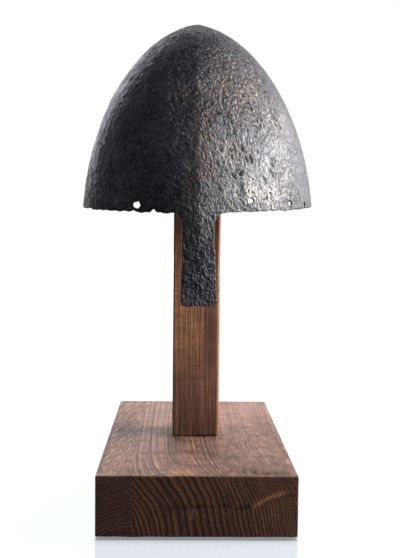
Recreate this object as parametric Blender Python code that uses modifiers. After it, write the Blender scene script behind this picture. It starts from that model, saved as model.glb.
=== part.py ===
"""A one-piece nasal helmet resting on its wooden display stand.

Metres, +Z up, the helmet faces -Y. The origin is the middle of the stand's footprint, on the surface
that its felt feet stand on. The helmet is loose: it lifts straight up off the padded block.
"""
import math

import bmesh
import bpy
from mathutils import Matrix, Vector

GAP = 0.0003                    # play between pieces that touch

# Base: two boards glued edge to edge on four felt discs
BASE_WIDTH = 0.156
BASE_DEPTH = 0.300
BASE_THICKNESS = 0.0475
STAVE_WIDTH = 0.028             # the narrow board on the left
ARRIS = 0.0008                  # sanded edges
FOOT_RADIUS = 0.011
FOOT_HEIGHT = 0.002
FOOT_INSET = 0.022              # from the base's edges to a foot's centre
FOOT_SIDES = 24

# Post: square, its front arrises planed to unequal widths
POST_SIDE = 0.042
POST_CENTRE = Vector((0.0006, 0.0032))
POST_TOP = 0.3760
POST_ARRIS_LEFT = 0.0014
POST_ARRIS_RIGHT = 0.0025

# Countersunk screws
POST_SCREW_RADIUS = 0.003
POST_SCREW_LENGTH = 0.100
POST_SCREW_SPACING = 0.022
CROWN_SCREW_RADIUS = 0.0022
CROWN_SCREW_LENGTH = 0.050
HEAD_RATIO = 2.0                # head over shank
HEAD_SINK = 0.003               # how far a head lies below the surface
SCREW_SIDES = 20

# Skull: an oval bowl, drawn in the helmet's own frame, whose origin is the middle of the rim
SKULL_HALF_WIDTH = 0.1047
SKULL_HALF_LENGTH = 0.1141
SKULL_HEIGHT = 0.1634
TIP_SLOPE = math.radians(10.6)  # below the horizontal, at the apex
TIP_REACH = 0.0608              # handle lengths of the profile's one cubic curve
RIM_FLARE = math.radians(4.2)
RIM_REACH = 0.0738
KEEL = 0.003                    # the front ridge's height and its angular width
KEEL_WIDTH = math.radians(12)
PLATE = 0.002
HELMET_CENTRE = Vector((0.0009, 0.0136, 0.2590))
NOSE_DOWN = math.radians(3.7)
LEAN = math.radians(-0.74)

# Nasal: hangs from the front of the rim, blended into it with two fillets
NASAL_CENTRE = -0.001
NECK_HALF_WIDTH = 0.01265
NASAL_HALF_WIDTH = 0.0144       # at its bottom
NASAL_LENGTH = 0.0754
FILLET_WIDTHS = {-1: 0.0070, 1: 0.0110}     # on the left and on the right
FILLET_HEIGHT = 0.0115
NASAL_CORNER = 0.0024

# Lining holes along the rim: azimuth from the front towards +X in degrees, and radius
RIM_HOLES = [(-60, 0.0014), (-30, 0.0037), (24, 0.0026), (49, 0.0015), (63, 0.0014),
             (105, 0.0020), (140, 0.0020), (180, 0.0022), (-140, 0.0020), (-105, 0.0020)]
HOLE_ABOVE_RIM = 0.0062
HOLE_SIDES = 12
DRILL_LENGTH = 0.016

# Crown block and its felt, both shaped to the skull's inside
BLOCK_REACH = 0.24              # how far down the skull's profile the block and its felt go, 0 to 1
PAD_REACH = 0.22
PAD_THICKNESS = 0.003
PAD_DROP = 0.0032               # from the skull's outer face down to the felt's upper face
BLOCK_DROP = 0.0076

PROFILE_ROWS = 15
COLUMN_STEP = math.radians(7.5)
NASAL_ROWS = 8
DOME_ROWS = 5
DOME_COLUMNS = 32

BASE_BOTTOM = FOOT_HEIGHT + GAP
BASE_TOP = BASE_BOTTOM + BASE_THICKNESS
HELMET_PLACE = (Matrix.Translation(HELMET_CENTRE)
                @ Matrix.Rotation(NOSE_DOWN, 4, "X") @ Matrix.Rotation(LEAN, 4, "Y"))

PARTS = bpy.data.collections.new("nasal_helmet_on_stand")
CUTTERS = bpy.data.collections.new("cutters")


# ---------------------------------------------------------------- helpers

def material(name, colour, roughness, metallic=0.0):
    made = bpy.data.materials.new(name)
    made.use_nodes = True
    shader = made.node_tree.nodes["Principled BSDF"]
    shader.inputs["Base Color"].default_value = (*colour, 1.0)
    shader.inputs["Roughness"].default_value = roughness
    shader.inputs["Metallic"].default_value = metallic
    return made


def add_part(name, mesh_builder, look, smooth=True):
    """Turns a finished bmesh into a named part of the object."""
    mesh = bpy.data.meshes.new(name)
    bmesh.ops.recalc_face_normals(mesh_builder, faces=mesh_builder.faces)
    mesh_builder.to_mesh(mesh)
    mesh_builder.free()
    mesh.materials.append(look)
    if smooth:
        mesh.shade_smooth()
        mesh.set_sharp_from_angle(angle=math.radians(35))
    part = bpy.data.objects.new(name, mesh)
    PARTS.objects.link(part)
    return part


def cut(part, cutter):
    """Cuts the part with a closed mesh that isn't part of the object."""
    cutter.hide_render = True
    cutter.display_type = "WIRE"
    modifier = part.modifiers.new("cut_" + cutter.name, "BOOLEAN")
    modifier.operation = "DIFFERENCE"
    modifier.solver = "EXACT"
    modifier.object = cutter


def box(low, high):
    """A bmesh cuboid between two corners."""
    made = bmesh.new()
    size = Vector(high) - Vector(low)
    centre = (Vector(high) + Vector(low)) / 2
    bmesh.ops.create_cube(made, size=1.0, matrix=Matrix.Translation(centre) @ Matrix.Diagonal((*size, 1.0)))
    return made


def bevel_edges(made, chosen, width):
    """Planes off the edges for which chosen(first end, second end) is true."""
    edges = [e for e in made.edges if chosen(e.verts[0].co, e.verts[1].co)]
    bmesh.ops.bevel(made, geom=edges, offset=width, offset_type="WIDTH", segments=1, affect="EDGES")


def turned(name, profile, collection, steps=SCREW_SIDES):
    """An object with a profile of (radius, height) points, turned about its own Z axis, top to bottom."""
    mesh = bpy.data.meshes.new(name)
    points = [(radius, 0.0, height) for radius, height in profile]
    mesh.from_pydata(points, [(i, i + 1) for i in range(len(points) - 1)], [])
    part = bpy.data.objects.new(name, mesh)
    screw = part.modifiers.new("turn", "SCREW")
    screw.steps = steps
    screw.render_steps = steps
    screw.use_merge_vertices = True
    screw.merge_threshold = 0.00001
    collection.objects.link(part)
    return part


def screw_profile(radius, length, play=0.0, mouth=0.0):
    """A countersunk screw, its head's top at height 0. Its hole has play, and a mouth over the head."""
    head = HEAD_RATIO * radius
    return [(0.0, mouth), (head + play, mouth), (head + play, -play), (radius + play, -radius - play),
            (radius + play, -length + radius - play), (0.0, -length - play)]


# ---------------------------------------------------------------- stand

def make_base(look):
    """The wide board and the narrow stave beside it, both with sanded outer edges."""
    joint = -BASE_WIDTH / 2 + STAVE_WIDTH
    spans = {"base_stave": (-BASE_WIDTH / 2, joint - GAP / 2),
             "base_board": (joint + GAP / 2, BASE_WIDTH / 2)}
    boards = {}
    for name, (left, right) in spans.items():
        made = box((left, -BASE_DEPTH / 2, BASE_BOTTOM), (right, BASE_DEPTH / 2, BASE_TOP))
        bevel_edges(made, lambda a, b: abs(a.x - joint) > GAP or abs(b.x - joint) > GAP, ARRIS)
        boards[name] = add_part(name, made, look, smooth=False)
    return boards


def make_post(look):
    half = POST_SIDE / 2
    left, right = POST_CENTRE.x - half, POST_CENTRE.x + half
    front, back = POST_CENTRE.y - half, POST_CENTRE.y + half
    made = box((left, front, BASE_TOP + GAP), (right, back, POST_TOP))
    for edge_x, width in ((left, POST_ARRIS_LEFT), (right, POST_ARRIS_RIGHT)):
        bevel_edges(made, lambda a, b: max(abs(a.x - edge_x), abs(b.x - edge_x)) < GAP
                    and abs(a.z - b.z) > POST_SIDE, width)
    return add_part("post", made, look, smooth=False)


def fit_screw(name, place, radius, length, holders, look):
    """A screw at a place, and the holes for it in the parts that it goes through."""
    screw = turned(name, screw_profile(radius, length), PARTS)
    screw.matrix_world = place
    screw.data.materials.append(look)
    hole = turned(name + "_hole", screw_profile(radius, length, GAP, HEAD_SINK + 2 * GAP), CUTTERS)
    hole.matrix_world = place
    for holder in holders:
        cut(holder, hole)


def make_foot(name, x, y, look):
    made = bmesh.new()
    bmesh.ops.create_cone(made, cap_ends=True, segments=FOOT_SIDES, radius1=FOOT_RADIUS,
                          radius2=FOOT_RADIUS, depth=FOOT_HEIGHT,
                          matrix=Matrix.Translation((x, y, FOOT_HEIGHT / 2)))
    return add_part(name, made, look)


# ---------------------------------------------------------------- helmet

def profile(share):
    """The skull's side profile, from share 0 at its apex to 1 at its rim: reach, 0 to 1, and height."""
    apex, rim = Vector((0.0, SKULL_HEIGHT)), Vector((SKULL_HALF_WIDTH, 0.0))
    first = apex + TIP_REACH * Vector((math.cos(TIP_SLOPE), -math.sin(TIP_SLOPE)))
    second = rim + RIM_REACH * Vector((-math.sin(RIM_FLARE), math.cos(RIM_FLARE)))
    left = 1.0 - share
    point = (left ** 3 * apex + 3 * left ** 2 * share * first
             + 3 * left * share ** 2 * second + share ** 3 * rim)
    return point.x / SKULL_HALF_WIDTH, point.y


def skull_point(azimuth, share):
    """A point of the skull's outer face, in the helmet's own frame."""
    reach, height = profile(share)
    ridge = KEEL * math.exp(-abs(azimuth) / KEEL_WIDTH)
    forward = (SKULL_HALF_LENGTH - KEEL) * math.cos(azimuth) + ridge
    return Vector((reach * SKULL_HALF_WIDTH * math.sin(azimuth), -reach * forward, height))


def azimuth_at(x):
    """The azimuth at which the front of the rim has this x."""
    return math.asin(x / SKULL_HALF_WIDTH)


def rim_columns():
    """Once round the rim: azimuth, drop, and place across the nasal, -1 to 1, or None beside it."""
    nasal = [(azimuth_at(NASAL_CENTRE + place * NECK_HALF_WIDTH), FILLET_HEIGHT, place)
             for place in (-1, -.6, -.2, .2, .6, 1)]
    sides = {}
    for side in (-1, 1):
        sides[side] = []
        for turn in (60, 30, 0):
            angle = math.radians(turn)
            x = NASAL_CENTRE + side * (NECK_HALF_WIDTH + FILLET_WIDTHS[side] * (1 - math.sin(angle)))
            sides[side].append((azimuth_at(x), FILLET_HEIGHT * (1 - math.cos(angle)), None))
    start, end = sides[1][-1][0], 2 * math.pi + sides[-1][-1][0]
    count = round((end - start) / COLUMN_STEP)
    around = [(start + (end - start) * i / count, 0.0, None) for i in range(1, count)]
    return nasal + sides[1] + around + sides[-1][::-1]


def nasal_point(across, down):
    """A point of the nasal's outer face: across from -1 to 1, down from 0 at the neck to 1 at its end."""
    neck = skull_point(azimuth_at(NASAL_CENTRE + across * NECK_HALF_WIDTH), 1.0)
    drop = FILLET_HEIGHT + (NASAL_LENGTH - FILLET_HEIGHT) * down
    half_width = NECK_HALF_WIDTH + (NASAL_HALF_WIDTH - NECK_HALF_WIDTH) * down
    flat = -SKULL_HALF_LENGTH + KEEL / 2
    forward = neck.y + (flat - neck.y) * down - drop * math.tan(RIM_FLARE)
    return Vector((NASAL_CENTRE + across * half_width, forward, -drop))


def make_helmet(look):
    """Skull and nasal, one forged plate with its lining holes."""
    made = bmesh.new()
    columns = rim_columns()
    apex = made.verts.new(skull_point(0.0, 0.0))
    rows = []
    for row in range(1, PROFILE_ROWS + 1):
        points = [skull_point(azimuth, row / PROFILE_ROWS) for azimuth, _, _ in columns]
        if row == PROFILE_ROWS:
            points = [p + drop * Vector((0, -math.tan(RIM_FLARE), -1))
                      for p, (_, drop, _) in zip(points, columns)]
        rows.append([made.verts.new(p) for p in points])
    for i in range(len(columns)):
        j = (i + 1) % len(columns)
        made.faces.new((apex, rows[0][i], rows[0][j]))
        for upper, lower in zip(rows, rows[1:]):
            made.faces.new((upper[i], lower[i], lower[j], upper[j]))
    across = [place for _, _, place in columns if place is not None]
    last = rows[-1][:len(across)]
    for row in range(1, NASAL_ROWS + 1):
        following = [made.verts.new(nasal_point(place, row / NASAL_ROWS)) for place in across]
        for i in range(len(across) - 1):
            made.faces.new((last[i], following[i], following[i + 1], last[i + 1]))
        last = following
    bmesh.ops.bevel(made, geom=[last[0], last[-1]], offset=NASAL_CORNER, offset_type="OFFSET",
                    segments=3, profile=0.5, affect="VERTICES")
    helmet = add_part("helmet_bowl", made, look)
    helmet.matrix_world = HELMET_PLACE
    shell = helmet.modifiers.new("plate", "SOLIDIFY")
    shell.thickness = PLATE
    shell.offset = -1.0
    shell.use_even_offset = True
    for number, (degrees, radius) in enumerate(RIM_HOLES):
        azimuth = math.radians(degrees)
        rim = skull_point(azimuth, 1.0)
        outward = Vector((rim.x, rim.y, 0.0)).to_track_quat("Z", "Y").to_matrix().to_4x4()
        place = Matrix.Translation((rim.x, rim.y, HOLE_ABOVE_RIM)) @ outward
        drill = bmesh.new()
        bmesh.ops.create_cone(drill, cap_ends=True, segments=HOLE_SIDES, radius1=radius, radius2=radius,
                              depth=DRILL_LENGTH)
        mesh = bpy.data.meshes.new("drill")
        drill.to_mesh(mesh)
        drill.free()
        cutter = bpy.data.objects.new(f"lining_hole_{number}", mesh)
        cutter.matrix_world = HELMET_PLACE @ place
        CUTTERS.objects.link(cutter)
        cut(helmet, cutter)
    return helmet


def dome(reach, drop):
    """The top of the skull as an open surface, lowered in the helmet's frame, and its outer ring."""
    made = bmesh.new()
    lowered = HELMET_PLACE @ Matrix.Translation((0, 0, -drop))
    apex = made.verts.new(lowered @ skull_point(math.pi, 0.0))
    rings = []
    for row in range(1, DOME_ROWS + 1):
        share = reach * row / DOME_ROWS
        angles = [math.tau * (i + 0.5) / DOME_COLUMNS - math.pi for i in range(DOME_COLUMNS)]
        rings.append([made.verts.new(lowered @ skull_point(angle, share)) for angle in angles])
    for i in range(DOME_COLUMNS):
        j = (i + 1) % DOME_COLUMNS
        made.faces.new((apex, rings[0][i], rings[0][j]))
        for upper, lower in zip(rings, rings[1:]):
            made.faces.new((upper[i], lower[i], lower[j], upper[j]))
    return made, rings[-1]


def make_crown_pad(look):
    made, _ = dome(PAD_REACH, PAD_DROP)
    pad = add_part("crown_pad", made, look)
    felt = pad.modifiers.new("felt", "SOLIDIFY")
    felt.thickness = PAD_THICKNESS
    felt.offset = -1.0
    return pad


def make_crown_block(look):
    """A domed block on top of the post, with upright sides and a flat underside."""
    made, ring = dome(BLOCK_REACH, BLOCK_DROP)
    foot = [made.verts.new((v.co.x, v.co.y, POST_TOP + GAP)) for v in ring]
    for i in range(len(ring)):
        j = (i + 1) % len(ring)
        made.faces.new((ring[i], foot[i], foot[j], ring[j]))
    made.faces.new(foot)
    return add_part("crown_block", made, look)


# ---------------------------------------------------------------- the whole object

def main():
    for thing in list(bpy.data.objects):
        bpy.data.objects.remove(thing, do_unlink=True)
    for collection in (PARTS, CUTTERS):
        bpy.context.scene.collection.children.link(collection)
    iron = material("pitted_iron", (0.05, 0.05, 0.055), 0.5, 0.6)
    base_wood = material("stained_pine", (0.16, 0.085, 0.05), 0.5)
    post_wood = material("stained_pine_post", (0.17, 0.08, 0.045), 0.45)
    block_wood = material("plain_pine", (0.45, 0.30, 0.16), 0.6)
    felt = material("dark_felt", (0.03, 0.03, 0.03), 0.95)
    steel = material("zinc_steel", (0.55, 0.54, 0.50), 0.35, 1.0)

    boards = make_base(base_wood)
    post = make_post(post_wood)
    upside_down = Matrix.Rotation(math.pi, 4, "X")
    for name, side in (("post_screw_front", -1), ("post_screw_back", 1)):
        head = (POST_CENTRE.x, POST_CENTRE.y + side * POST_SCREW_SPACING / 2, BASE_BOTTOM + HEAD_SINK)
        fit_screw(name, Matrix.Translation(head) @ upside_down, POST_SCREW_RADIUS, POST_SCREW_LENGTH,
                  [boards["base_board"], post], steel)
    for name, x_side, y_side in (("foot_front_left", -1, -1), ("foot_front_right", 1, -1),
                                 ("foot_back_left", -1, 1), ("foot_back_right", 1, 1)):
        make_foot(name, x_side * (BASE_WIDTH / 2 - FOOT_INSET), y_side * (BASE_DEPTH / 2 - FOOT_INSET),
                  felt)

    block = make_crown_block(block_wood)
    make_crown_pad(felt)
    make_helmet(iron)
    bpy.context.view_layer.update()
    top = HELMET_PLACE @ Vector((0, 0, SKULL_HEIGHT))
    head = (POST_CENTRE.x, POST_CENTRE.y, top.z - BLOCK_DROP - HEAD_SINK)
    fit_screw("crown_screw", Matrix.Translation(head), CROWN_SCREW_RADIUS, CROWN_SCREW_LENGTH,
              [block, post], steel)


main()
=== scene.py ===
"""Looks of the nasal helmet on its stand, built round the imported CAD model.

Everything is in metres, in the CAD's own frame: the helmet faces -Y, +Z is up, the stand's feet are at 0.
"""

import math

import bmesh
import bpy
import numpy as np
from mathutils import Matrix, Vector, noise


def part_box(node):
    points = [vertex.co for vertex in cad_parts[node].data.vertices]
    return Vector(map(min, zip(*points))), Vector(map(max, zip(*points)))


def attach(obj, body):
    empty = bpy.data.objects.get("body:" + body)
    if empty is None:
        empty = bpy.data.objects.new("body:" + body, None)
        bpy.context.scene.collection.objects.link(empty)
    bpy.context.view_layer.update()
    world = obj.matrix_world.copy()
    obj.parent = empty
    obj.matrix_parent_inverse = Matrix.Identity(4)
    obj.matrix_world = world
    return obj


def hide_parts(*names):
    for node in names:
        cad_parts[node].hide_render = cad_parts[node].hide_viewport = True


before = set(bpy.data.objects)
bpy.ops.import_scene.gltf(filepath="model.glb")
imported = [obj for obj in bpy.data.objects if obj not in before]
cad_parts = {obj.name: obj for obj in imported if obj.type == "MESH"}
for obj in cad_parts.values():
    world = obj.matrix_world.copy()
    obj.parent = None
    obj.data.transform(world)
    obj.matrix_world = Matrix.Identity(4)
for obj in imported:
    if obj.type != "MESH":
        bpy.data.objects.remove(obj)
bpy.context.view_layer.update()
NOISE_SEED = 1                  # unseeded, noise_vector starts from the clock
noise.seed_set(NOISE_SEED)
MM = 0.001
TINY = 1e-12

# The helmet's driving dimensions and place, as the CAD has them
SKULL_HALF_WIDTH = 0.1047
SKULL_HALF_LENGTH = 0.1141
SKULL_HEIGHT = 0.1634
TIP_SLOPE = math.radians(10.6)
TIP_REACH = 0.0608
RIM_FLARE = math.radians(4.2)
RIM_REACH = 0.0738
KEEL = 0.0032                   # the front ridge's height, its angular width, and how its crest is shaped
KEEL_WIDTH = math.radians(12)
RIDGE_ROUNDING = math.radians(0.4)
RIDGE_WANDER = math.radians(0.8)
RIDGE_WAVES = (0.0068, 0.0117)
PLATE = 0.002
NASAL_CENTRE = -0.001
NECK_HALF_WIDTH = 0.01265
NASAL_HALF_WIDTH = 0.0144
NASAL_LENGTH = 0.0754
NASAL_CORNER = 0.0024
FILLET_HEIGHT = 0.0115
FILLET_WIDTH_LEFT = 0.0070
FILLET_WIDTH_RIGHT = 0.0110
HELMET_PLACE = (Matrix.Translation((0.0009, 0.0136, 0.2590))
                @ Matrix.Rotation(math.radians(3.7), 4, "X") @ Matrix.Rotation(math.radians(-0.74), 4, "Y"))

# The helmet's mesh
COLUMNS = 576
NASAL_COLUMNS = 26
ROW = 0.00120
INNER_ROW = 0.0045
RIM_ZONE = 0.030                # height above the rim over which the rows take up its ragged line
CUT_ZONE = 0.0145               # height above the rim in which both faces have the same fine grid
HOLE_SEARCH = 0.012             # no lining hole reaches further from its middle
EDGE_BULGE = 0.22 * PLATE       # how far the middle of a cut edge stands out


# ---------------------------------------------------------------- mesh helpers

def new_object(name, data):
    made = bpy.data.objects.new(name, data)
    bpy.context.scene.collection.objects.link(made)
    return made


def mesh_from(name, points, faces):
    mesh = bpy.data.meshes.new(name)
    mesh.from_pydata([tuple(p) for p in points], [], faces)
    mesh.validate()
    mesh.update()
    return mesh


def finished(mesh, look, sharp=None):
    """A smooth-shaded piece named after its mesh. Edges over sharp degrees stay crisp."""
    mesh.shade_smooth()
    if sharp:
        mesh.set_sharp_from_angle(angle=math.radians(sharp))
    mesh.materials.append(look)
    return new_object(mesh.name, mesh)


def put_values(mesh, **values):
    """Stores numbers, one for each vertex or one for all, for a material to read."""
    for name, numbers in values.items():
        stored = mesh.attributes.new(name, "FLOAT", "POINT")
        stored.data.foreach_set("value", (np.zeros(len(mesh.vertices)) + numbers).astype(np.float32))


def places(mesh):
    return np.array([v.co for v in mesh.vertices])


def quads(numbers):
    """Faces between neighbouring rows and columns of a grid of vertex numbers."""
    return np.stack((numbers[:-1, :-1], numbers[1:, :-1], numbers[1:, 1:], numbers[:-1, 1:]), -1)


def closed(numbers):
    """A grid of vertex numbers whose last column meets its first again."""
    return np.column_stack((numbers, numbers[:, 0]))


def circle(count):
    """Points of a unit circle."""
    around = np.arange(count) * math.tau / count
    return np.stack((np.cos(around), np.sin(around)), -1)


def raised(flat, z):
    """Points in the plane, lifted to a height, or to one height each."""
    return np.column_stack((flat, np.broadcast_to(z, len(flat))))


def vertex_normals(points, faces):
    """Area-weighted normals of a mesh given as an array of points and lists of triangles and quads."""
    normals = np.zeros_like(points)
    for corners in (3, 4):
        some = np.array([f for f in faces if len(f) == corners], int).reshape(-1, corners)
        across = points[some[:, 2]] - points[some[:, 0]]
        if corners == 4:
            face_normals = np.cross(across, points[some[:, 3]] - points[some[:, 1]])
        else:
            face_normals = np.cross(points[some[:, 1]] - points[some[:, 0]], across)
        for k in range(corners):
            np.add.at(normals, some[:, k], face_normals)
    return normals / np.maximum(np.linalg.norm(normals, axis=1, keepdims=True), TINY)


def smoothstep(value, low, high):
    t = np.clip((value - low) / (high - low), 0.0, 1.0)
    return t * t * (3.0 - 2.0 * t)


def bump_of(value, centre, width):
    """A bell curve: 1 at the centre."""
    return np.exp(-((value - centre) / width) ** 2)


def noise_at(points, scale, seed=0.0):
    """Perlin noise at points, with one scale in metres, or one for each axis."""
    scaled = points / np.array(scale) + seed
    return np.array([noise.noise(Vector(p)) for p in scaled])


def wrapped(degrees):
    return (degrees + 180.0) % 360.0 - 180.0


# ---------------------------------------------------------------- helmet

def profile(share):
    """The skull's side profile: reach from 0 at the apex to 1 at the rim, and height."""
    share = np.asarray(share, float)[..., None]
    apex, rim = np.array((0.0, SKULL_HEIGHT)), np.array((SKULL_HALF_WIDTH, 0.0))
    first = apex + TIP_REACH * np.array((math.cos(TIP_SLOPE), -math.sin(TIP_SLOPE)))
    second = rim + RIM_REACH * np.array((-math.sin(RIM_FLARE), math.cos(RIM_FLARE)))
    left = 1.0 - share
    point = left ** 3 * apex + 3 * left ** 2 * share * first
    point = point + 3 * left * share ** 2 * second + share ** 3 * rim
    return point[..., 0] / SKULL_HALF_WIDTH, point[..., 1]


REACHES, HEIGHTS = profile(np.linspace(0.0, 1.0, 801))
ARC = np.concatenate(([0.0], np.cumsum(np.hypot(np.diff(REACHES * SKULL_HALF_WIDTH), np.diff(HEIGHTS)))))
RIM_ARC = ARC[-1]


def skull_point(azimuth, arc):
    """Points of the skull's outer face, arc metres down from the apex; past the rim they go on straight."""
    azimuth, arc = np.broadcast_arrays(np.asarray(azimuth, float), np.asarray(arc, float))
    past = np.maximum(arc - RIM_ARC, 0.0)
    reach = np.interp(arc, ARC, REACHES) + past * math.sin(RIM_FLARE) / SKULL_HALF_WIDTH
    height = np.interp(arc, ARC, HEIGHTS) - past * math.cos(RIM_FLARE)
    wander = RIDGE_WANDER * np.sin(arc / RIDGE_WAVES[0]) * np.sin(arc / RIDGE_WAVES[1])
    turned = (azimuth + math.pi) % math.tau - math.pi + wander
    ridge = KEEL * np.exp((RIDGE_ROUNDING - np.hypot(turned, RIDGE_ROUNDING)) / KEEL_WIDTH)
    forward = (SKULL_HALF_LENGTH - KEEL) * np.cos(azimuth) + ridge
    return np.stack((reach * SKULL_HALF_WIDTH * np.sin(azimuth), -reach * forward, height), -1)


# Ragged rim: azimuth and half-width in degrees, and how many millimetres of the edge are eaten away
RIM_BITES = [(-21.2, 2.0, 2.3), (-31.5, 1.8, 1.3), (-36.5, 2.4, 0.7), (-42, 1.3, 0.8), (-49, 1.8, 0.6),
             (-54, 1.2, 0.7), (-66, 5.0, 1.0), (-27, 2.2, -0.7), (-15, 3.0, -0.8), (21, 2.0, 0.3),
             (29, 1.4, 0.6), (34.5, 1.6, 1.0), (40, 1.8, 0.5), (45, 2.2, -0.4), (84, 3.0, 1.4),
             (118, 4.0, 1.6), (147, 3.4, 4.2), (-160, 4.0, 1.8), (-128, 3.5, 1.2), (-96, 3.0, 1.0),
             (171, 1.8, 0.9), (-146, 1.6, 1.1)]
# Fine wear of the rim: depth in millimetres, and waves for each radian
RIM_WEAR = [(0.35, 22.0), (0.40, 60.0), (0.25, 120.0)]

# Lining holes: azimuth in degrees, then height above the rim, half-width and half-height in millimetres
RIM_HOLES = [(-59.6, 5.2, 1.2, 1.8), (-29.9, 5.6, 4.1, 3.3), (24.0, 8.6, 3.0, 2.5), (48.6, 5.2, 2.8, 2.8),
             (63.2, 3.0, 2.8, 2.4), (105, 6.2, 2.0, 2.1), (140, 5.8, 2.1, 1.9), (180, 6.2, 2.2, 2.2),
             (-140, 6.0, 1.9, 2.2), (-105, 6.2, 2.0, 1.9)]
HOLE_RAGGEDNESS = 0.22


def fillet_drop(azimuth):
    """How far the nasal's neck and its two fillets pull the rim down at an azimuth."""
    if math.cos(azimuth) <= 0.9:
        return 0.0
    x = SKULL_HALF_WIDTH * math.sin(azimuth)
    width = FILLET_WIDTH_RIGHT if x > NASAL_CENTRE else FILLET_WIDTH_LEFT
    beside = max(0.0, abs(x - NASAL_CENTRE) - NECK_HALF_WIDTH)
    return FILLET_HEIGHT * (1.0 - math.sqrt(max(0.0, 1.0 - max(0.0, 1.0 - beside / width) ** 2)))


def rim_drop(azimuth):
    """How far below the rim plane the edge lies at an azimuth: the nasal's fillets, bites and wear."""
    fillet = fillet_drop(azimuth)
    bite = 0.0
    for centre, half, depth in RIM_BITES:
        away = abs(wrapped(math.degrees(azimuth) - centre)) / half
        if away < 1.0:
            bite += depth * MM * (1.0 - away * away) ** 2
    at = Vector((math.sin(azimuth), math.cos(azimuth), 0.0))
    wear = sum(depth * MM * noise.noise(at * waves) for depth, waves in RIM_WEAR)
    return fillet + (wear - bite) * (1.0 - min(1.0, fillet / FILLET_HEIGHT))


def rim_azimuths():
    """The fine ring's azimuths: NASAL_COLUMNS steps across the nasal, the others evenly round the skull."""
    start, end = (math.asin((NASAL_CENTRE + side * NECK_HALF_WIDTH) / SKULL_HALF_WIDTH) for side in (-1, 1))
    across = np.linspace(start, end, NASAL_COLUMNS + 1)
    around = np.linspace(end, start + math.tau, COLUMNS - NASAL_COLUMNS + 1)
    return np.concatenate((across, around[1:-1]))


class Shell:
    """Collects the helmet's points and faces."""

    def __init__(self):
        self.points, self.faces = np.empty((0, 3)), []

    def add(self, points):
        """Takes points in and returns their numbers."""
        first = len(self.points)
        self.points = np.concatenate((self.points, np.asarray(points, float).reshape(-1, 3)))
        return np.arange(first, len(self.points))

    def fan(self, centre, ring, flip):
        pairs = zip(ring.tolist(), np.roll(ring, -1).tolist())
        self.faces += [(centre, b, a) if flip else (centre, a, b) for a, b in pairs]

    def bridge(self, upper, lower, flip):
        """Faces between two rings, the lower with as many points as the upper or twice as many."""
        if len(upper) == len(lower):
            made = quads(closed(np.array((upper, lower))))[0].tolist()
        else:
            made = []
            low, middle, high = lower[::2], lower[1::2], np.roll(lower[::2], -1)
            rings = (upper, np.roll(upper, -1), low, middle, high)
            for a, b, c, d, e in zip(*(ring.tolist() for ring in rings)):
                made += [(a, c, d), (a, d, b), (b, d, e)]
        self.faces += [f[::-1] for f in made] if flip else made


def ring_size(radius):
    for size, limit in ((64, 0.012), (128, 0.026), (256, 0.055)):
        if radius < limit:
            return size
    return COLUMNS


def nasal_rows(azimuths):
    """Points of the nasal's outer face below the neck, row by row."""
    neck = skull_point(azimuths[:NASAL_COLUMNS + 1], RIM_ARC + FILLET_HEIGHT)
    across = np.linspace(-1.0, 1.0, NASAL_COLUMNS + 1)
    count = round((NASAL_LENGTH - FILLET_HEIGHT) / ROW)
    for down in np.arange(1, count + 1) / count:
        half = NECK_HALF_WIDTH + (NASAL_HALF_WIDTH - NECK_HALF_WIDTH) * down
        inside = np.clip(NASAL_CORNER - (1.0 - np.abs(across)) * half, 0.0, NASAL_CORNER)
        corner = NASAL_CORNER - np.sqrt(NASAL_CORNER ** 2 - inside ** 2)
        length = NASAL_LENGTH - FILLET_HEIGHT - corner
        x = NASAL_CENTRE + across * half
        for k, side in ((0, -1.0), (NASAL_COLUMNS, 1.0)):
            x[k] += side * 0.3 * MM * noise.noise(Vector((side * 3.0, 0.0, down * 26.0)))
        flat = -SKULL_HALF_LENGTH + KEEL / 2
        y = neck[:, 1] + (flat - neck[:, 1]) * down - length * down * math.tan(RIM_FLARE)
        z = neck[:, 2] - length * down - 0.3 * MM * down ** 8 * (1 + np.sin(across * 9.0))
        yield np.stack((x, y, z), -1)


def hole_radius(hole, angle):
    """A lining hole's ragged outline: its radius at an angle."""
    degrees, _, half_width, half_height = hole
    oval = MM / np.hypot(np.cos(angle) / half_width, np.sin(angle) / half_height)
    on_circle = raised(1.3 * np.stack((np.cos(angle), np.sin(angle)), -1), degrees * 0.37)
    return oval * (1.0 + HOLE_RAGGEDNESS * noise_at(on_circle, 1.0))


def cut_holes(azimuths, arcs):
    """Which cells of the zone's grid stay, and the azimuth and arc that points round holes move to."""
    degrees = np.degrees(azimuths)
    keep = np.ones((len(arcs) - 1, COLUMNS), bool)
    moved = {}
    for hole in RIM_HOLES:
        middle, above = hole[:2]
        turn = wrapped(degrees - middle)
        radius = math.hypot(SKULL_HALF_WIDTH * math.cos(math.radians(middle)),
                            SKULL_HALF_LENGTH * math.sin(math.radians(middle)))
        across = np.broadcast_to(np.radians(turn) * radius, arcs.shape)
        up = RIM_ARC - above * MM - arcs
        reach = np.hypot(across, up)
        near = reach < HOLE_SEARCH
        edge = np.full(arcs.shape, 1.0)
        edge[near] = hole_radius(hole, np.arctan2(up[near], across[near]))
        ratio = np.where(near, reach / edge, 9.0)
        gone = quads(closed(ratio)).mean(-1) < 1.0
        keep &= ~gone
        for r, c in zip(*np.nonzero(gone)):
            for row, column in ((r, c), (r + 1, c), (r, (c + 1) % COLUMNS), (r + 1, (c + 1) % COLUMNS)):
                stretch = edge[row, column] / max(reach[row, column], 1e-6) - 1.0
                moved[row, column] = (math.radians(degrees[column] + stretch * turn[column]),
                                      arcs[row, column] - stretch * up[row, column])
    return keep, moved


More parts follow.
